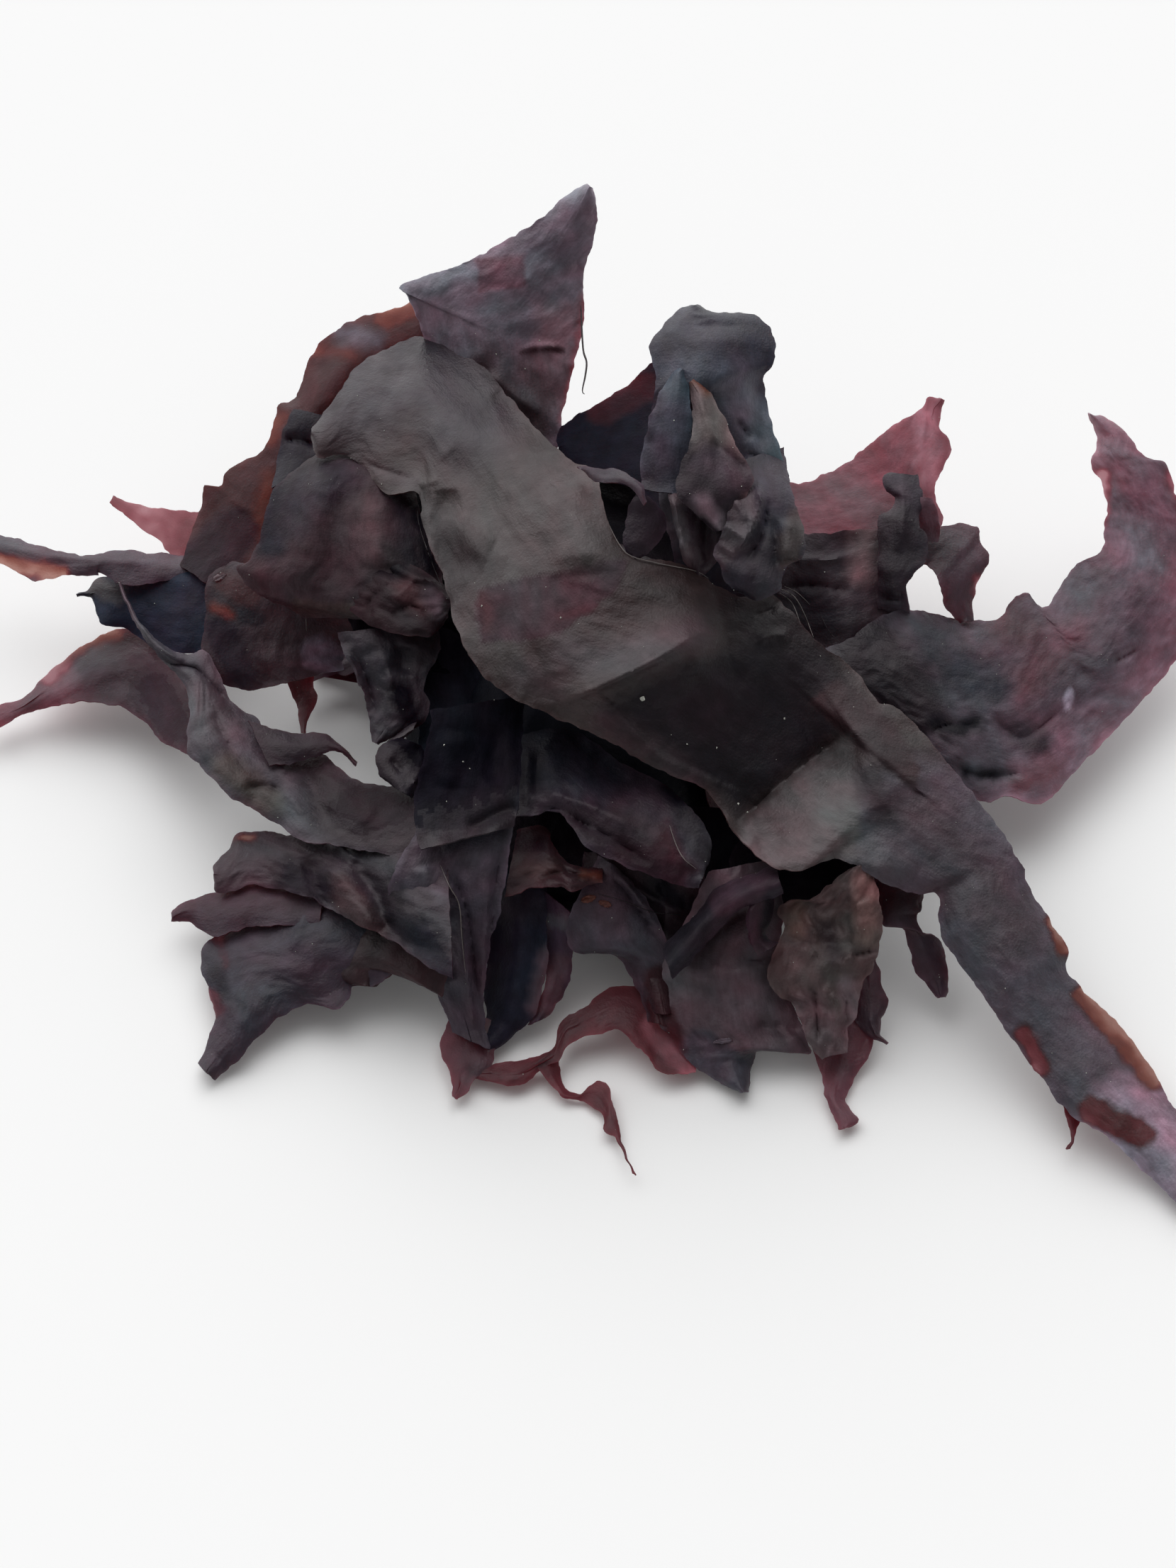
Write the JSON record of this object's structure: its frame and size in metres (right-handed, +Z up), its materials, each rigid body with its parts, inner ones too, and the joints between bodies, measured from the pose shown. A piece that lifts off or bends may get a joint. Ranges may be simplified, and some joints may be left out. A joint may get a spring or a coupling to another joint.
{
  "type": "dried dulse clump",
  "caption": "Loose clump of dried dulse: thin, leathery purple-brown seaweed fronds folded and tangled into a low heap, with broad lobes and red translucent torn tips.",
  "frame": {"origin": "centre of the clump's box, on the table under it", "axes": "+X to the right as seen in the picture, +Y away from the viewer, +Z up from the table"},
  "size_m": [0.3534, 0.2866, 0.1093],
  "materials": {
    "dulse": "satin, dry and slightly translucent at single layers"
  },
  "bodies": {
    "root": {"dulse_clump": "dulse"}
  },
  "joints": []
}
